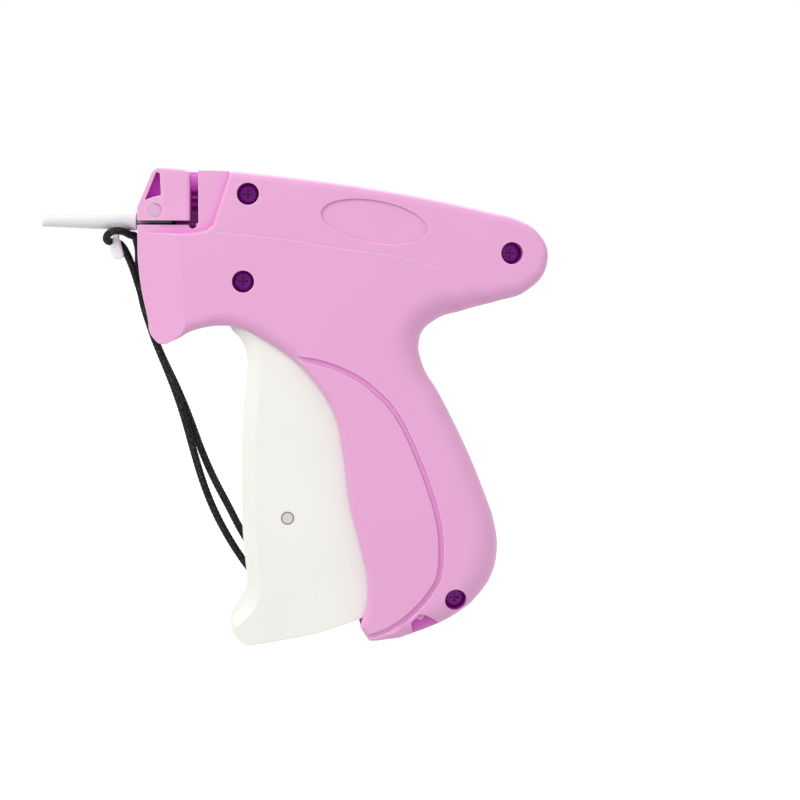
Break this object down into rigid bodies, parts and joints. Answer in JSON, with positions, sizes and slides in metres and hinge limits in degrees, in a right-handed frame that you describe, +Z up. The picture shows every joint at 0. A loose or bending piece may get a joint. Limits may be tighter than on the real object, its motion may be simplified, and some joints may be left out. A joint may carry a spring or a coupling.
{
  "type": "garment tag attacher",
  "caption": "Hand-held garment tag attacher: pistol-shaped two-half casing, long pivoted trigger, slotted needle under a tapered cap on a cord tether, and a fastener feed.",
  "frame": {"origin": "on the parting plane, in the middle of the hand grip", "axes": "+Z up from the grip to the head, -X towards the muzzle, -Y towards the left side, where the clip's feed slot is"},
  "size_m": [0.1422, 0.0294, 0.1342],
  "materials": {
    "shell_plastic": "pink moulded plastic, satin",
    "offwhite_plastic": "off-white moulded plastic",
    "acetal": "natural acetal",
    "steel": "plain steel",
    "cap_plastic": "milky polyethylene",
    "braided_cord": "black braid"
  },
  "bodies": {
    "housing": {"left_shell": "shell_plastic", "right_shell": "shell_plastic", "nose_block": "shell_plastic", "case_screws": "steel", "needle": "steel", "needle_hub": "acetal", "clip_channel": "shell_plastic", "needle_seat": "shell_plastic", "knife": "steel", "lever_bracket": "steel", "lever_fulcrum_pin": "steel", "tether_bar": "shell_plastic", "return_spring": "steel", "release_spring": "steel", "tether_cord": "braided_cord"},
    "trigger": {"trigger": "offwhite_plastic", "trigger_pin": "steel"},
    "lever": {"drive_lever": "acetal", "lever_head_pin": "steel"},
    "plunger": {"plunger_slide": "acetal", "ejector_rod": "steel"},
    "feed_pawl_arm": {"feed_arm": "acetal", "pawl_spring": "steel"},
    "feed_drive": {"feed_wheel": "shell_plastic", "feed_ratchet": "acetal", "feed_shaft": "steel"},
    "needle_lock": {"needle_lock_lever": "shell_plastic", "needle_lock_pin": "shell_plastic"},
    "clip_release": {"clip_release_button": "offwhite_plastic"},
    "cap": {"needle_cap": "cap_plastic"}
  },
  "joints": [
    {"name": "trigger_pull", "type": "hinge", "parent": "housing", "child": "trigger", "pos_m": [-0.0412, 0, 0.0529], "axis": [0, -1, 0], "range_deg": [0, 16], "stiffness_Nm_per_rad": 2, "springref_deg": -8.59, "deforming": ["return_spring"]},
    {"name": "lever_swing", "type": "hinge", "parent": "housing", "child": "lever", "pos_m": [-0.0105, 0, 0.0045], "axis": [0, -1, 0], "range_deg": [0, 38.5]},
    {"name": "plunger_travel", "type": "slide", "parent": "housing", "child": "plunger", "axis": [-1, 0, 0], "range_m": [0, 0.0422]},
    {"name": "feed_arm_swing", "type": "hinge", "parent": "housing", "child": "feed_pawl_arm", "pos_m": [-0.045, 0.0056, 0.0754], "axis": [1, 0, 0], "range_deg": [0, 32]},
    {"name": "feed_wheel_turn", "type": "hinge", "parent": "housing", "child": "feed_drive", "pos_m": [-0.052, 0.0056, 0.0754], "axis": [1, 0, 0], "continuous": true},
    {"name": "needle_lock_turn", "type": "hinge", "parent": "housing", "child": "needle_lock", "pos_m": [-0.0656, 0, 0.0727], "axis": [0, -1, 0], "range_deg": [0, 75]},
    {"name": "clip_release_press", "type": "slide", "parent": "housing", "child": "clip_release", "axis": [0, -1, 0], "range_m": [0, 0.0015], "stiffness_N_per_m": 400, "springref_m": -0.001, "deforming": ["release_spring"]},
    {"name": "needle_cap_pull", "type": "slide", "parent": "housing", "child": "cap", "axis": [-1, 0, 0], "range_m": [0, 0.03], "deforming": ["tether_cord"]}
  ],
  "couplings": [
    {"joint": "lever_swing", "follows": "trigger_pull", "ratio": 2.406},
    {"joint": "plunger_travel", "follows": "trigger_pull", "m_per_rad": 0.1511},
    {"joint": "feed_arm_swing", "follows": "trigger_pull", "ratio": 2}
  ]
}
